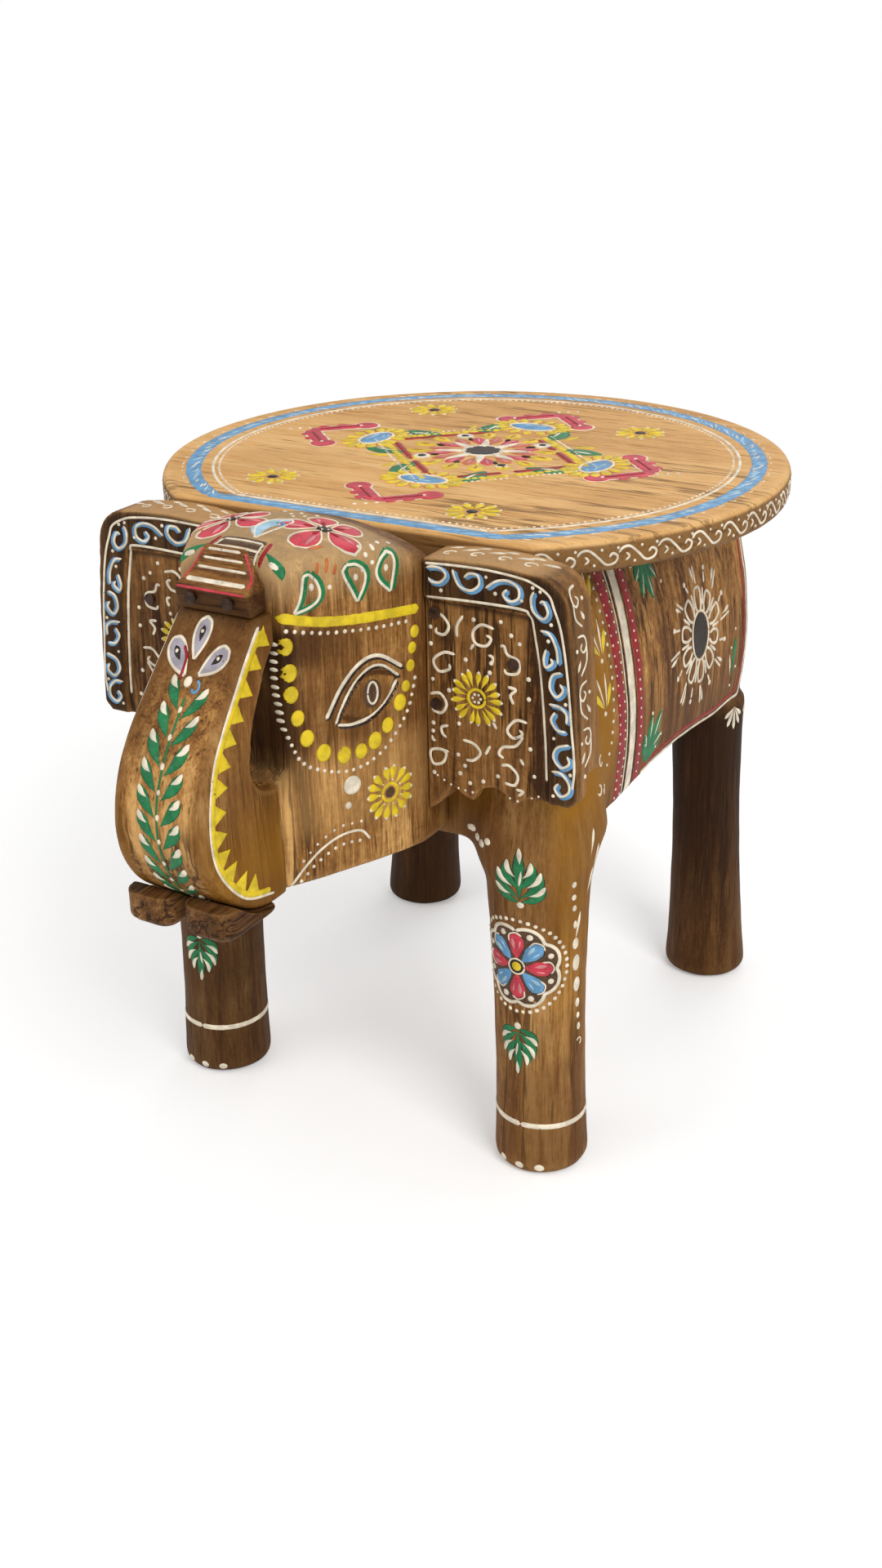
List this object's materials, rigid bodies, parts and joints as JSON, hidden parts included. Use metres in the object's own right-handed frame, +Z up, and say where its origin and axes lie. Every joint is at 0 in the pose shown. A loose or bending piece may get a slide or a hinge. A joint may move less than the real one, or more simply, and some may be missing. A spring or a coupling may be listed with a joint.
{
  "type": "carved elephant stool",
  "caption": "Low wooden stool carved as a standing elephant, with a round painted seat board, block body, turned legs, flat ears, and a head with a curled trunk and stub tusks",
  "frame": {"origin": "on the floor, under the middle of the stool's bounding box", "axes": "+Z up, +Y towards the elephant's rear along its length, +X towards the elephant's left"},
  "size_m": [0.304, 0.416, 0.32],
  "materials": {
    "seat_wood": "light golden wood, hand painted and waxed",
    "body_wood": "mid brown stained wood with painted bands",
    "leg_wood": "dark stained turned wood",
    "head_wood": "mid brown carved wood",
    "ear_wood": "dark brown painted wood",
    "tusk_wood": "dark bare wood",
    "dowel_wood": "plain beech dowel",
    "nail_steel": "dull iron nails"
  },
  "bodies": {
    "root": {"seat_board": "seat_wood", "body_block": "body_wood", "leg_front_left": "leg_wood", "leg_front_right": "leg_wood", "leg_rear_left": "leg_wood", "leg_rear_right": "leg_wood", "head_block": "head_wood", "brow_block": "head_wood", "trunk": "head_wood", "ear_left": "ear_wood", "ear_right": "ear_wood", "tusk_left": "tusk_wood", "tusk_right": "tusk_wood", "seat_dowels": "dowel_wood", "head_dowels": "dowel_wood", "trunk_dowels": "dowel_wood", "tusk_dowels": "dowel_wood", "leg_nails": "nail_steel", "ear_nails": "nail_steel", "brow_nails": "nail_steel"}
  },
  "joints": []
}
